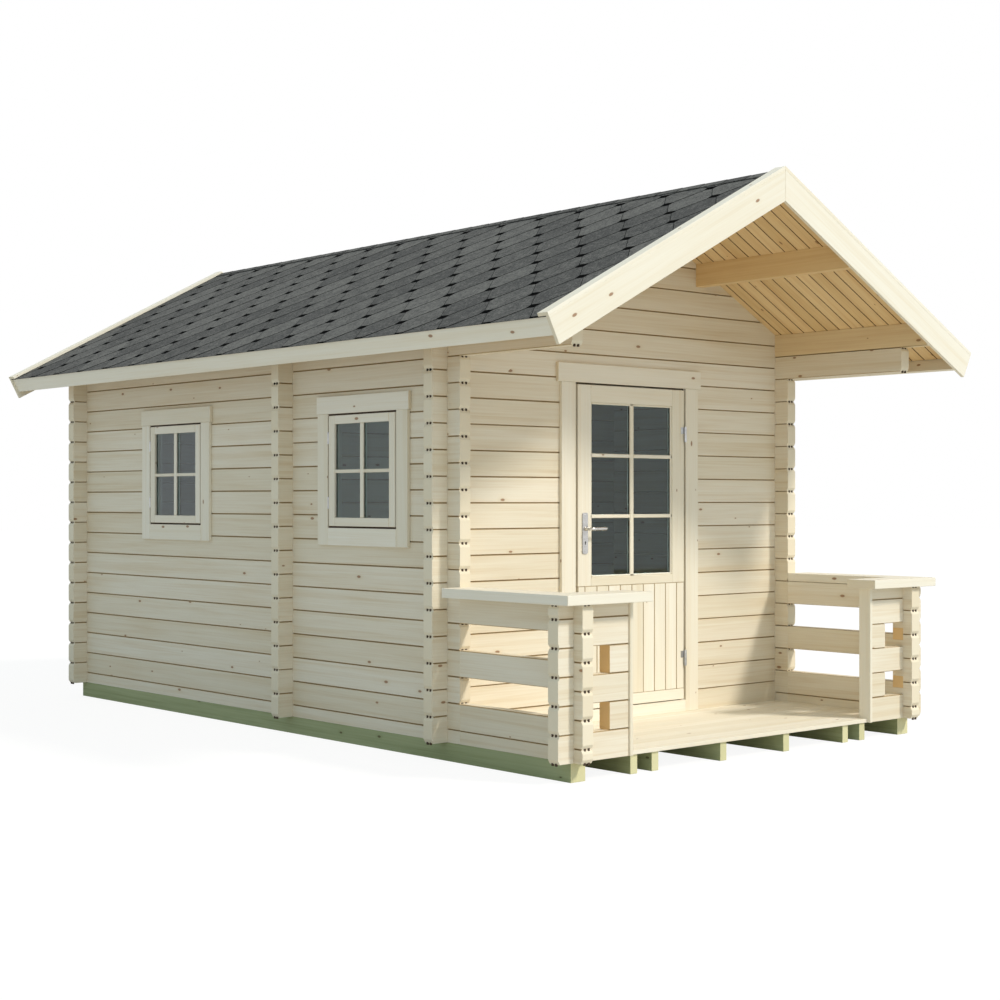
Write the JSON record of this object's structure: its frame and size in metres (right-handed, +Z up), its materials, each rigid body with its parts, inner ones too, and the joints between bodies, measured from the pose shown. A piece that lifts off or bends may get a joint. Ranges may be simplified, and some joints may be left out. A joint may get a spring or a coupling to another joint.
{
  "type": "garden sauna",
  "caption": "Log-built garden sauna cabin with a pitched shingle roof, a roofed front porch with log rails, side windows and a glazed plank door that opens outwards.",
  "frame": {"origin": "on the ground under the middle of the roof", "axes": "+Z up, -Y out of the porch and front door, +X to the right seen from the front; the windows are on the -X side"},
  "size_m": [3.298, 5.435, 3.0269],
  "materials": {
    "spruce_logs": "planed spruce logs, untreated, matt",
    "planed_spruce": "planed spruce boards, untreated, matt",
    "treated_timber": "pressure-treated green sawn timber",
    "bitumen_shingles": "dark grey mineral-coated bitumen shingles",
    "window_glass": "clear sealed double pane",
    "zinc_steel": "zinc-plated steel",
    "satin_handle": "satin metal"
  },
  "bodies": {
    "house": {"foundation_beams": "treated_timber", "porch_deck": "planed_spruce", "room_floor": "planed_spruce", "front_wall_left": "spruce_logs", "front_wall_right": "spruce_logs", "front_wall_gable": "spruce_logs", "left_wall": "spruce_logs", "right_wall": "spruce_logs", "rear_wall": "spruce_logs", "partition_left": "spruce_logs", "partition_right": "spruce_logs", "partition_gable": "spruce_logs", "top_logs": "spruce_logs", "porch_rail_left": "spruce_logs", "porch_rail_right": "spruce_logs", "porch_return_left": "spruce_logs", "porch_return_right": "spruce_logs", "side_rail_caps": "planed_spruce", "return_caps": "planed_spruce", "return_covers": "planed_spruce", "purlins": "spruce_logs", "roof_boards_left": "planed_spruce", "roof_boards_right": "planed_spruce", "roofing_left": "bitumen_shingles", "roofing_right": "bitumen_shingles", "ridge_shingles": "bitumen_shingles", "eave_boards": "planed_spruce", "bargeboards_left": "planed_spruce", "bargeboards_right": "planed_spruce", "verge_laths_left": "planed_spruce", "verge_laths_right": "planed_spruce", "dressing_window_frame": "planed_spruce", "dressing_window_sash": "planed_spruce", "dressing_window_glass": "window_glass", "hot_room_window_frame": "planed_spruce", "hot_room_window_sash": "planed_spruce", "hot_room_window_glass": "window_glass", "door_frame": "planed_spruce", "door_trim": "planed_spruce", "hinge_pins": "zinc_steel"},
    "door": {"door_leaf": "planed_spruce", "door_glass": "window_glass", "hinge_knuckles": "zinc_steel", "handle_plates": "satin_handle"},
    "lever": {"door_handle": "satin_handle"}
  },
  "joints": [
    {"name": "door_swing", "type": "hinge", "parent": "house", "child": "door", "pos_m": [0.4215, -1.636, 1], "axis": [0, 0, 1], "range_deg": [0, 110]},
    {"name": "lever_turn", "type": "hinge", "parent": "door", "child": "lever", "pos_m": [-0.369, -1.6065, 1.168], "axis": [0, 1, 0], "range_deg": [0, 40], "stiffness_Nm_per_rad": 1.2, "springref_deg": -20.05}
  ]
}
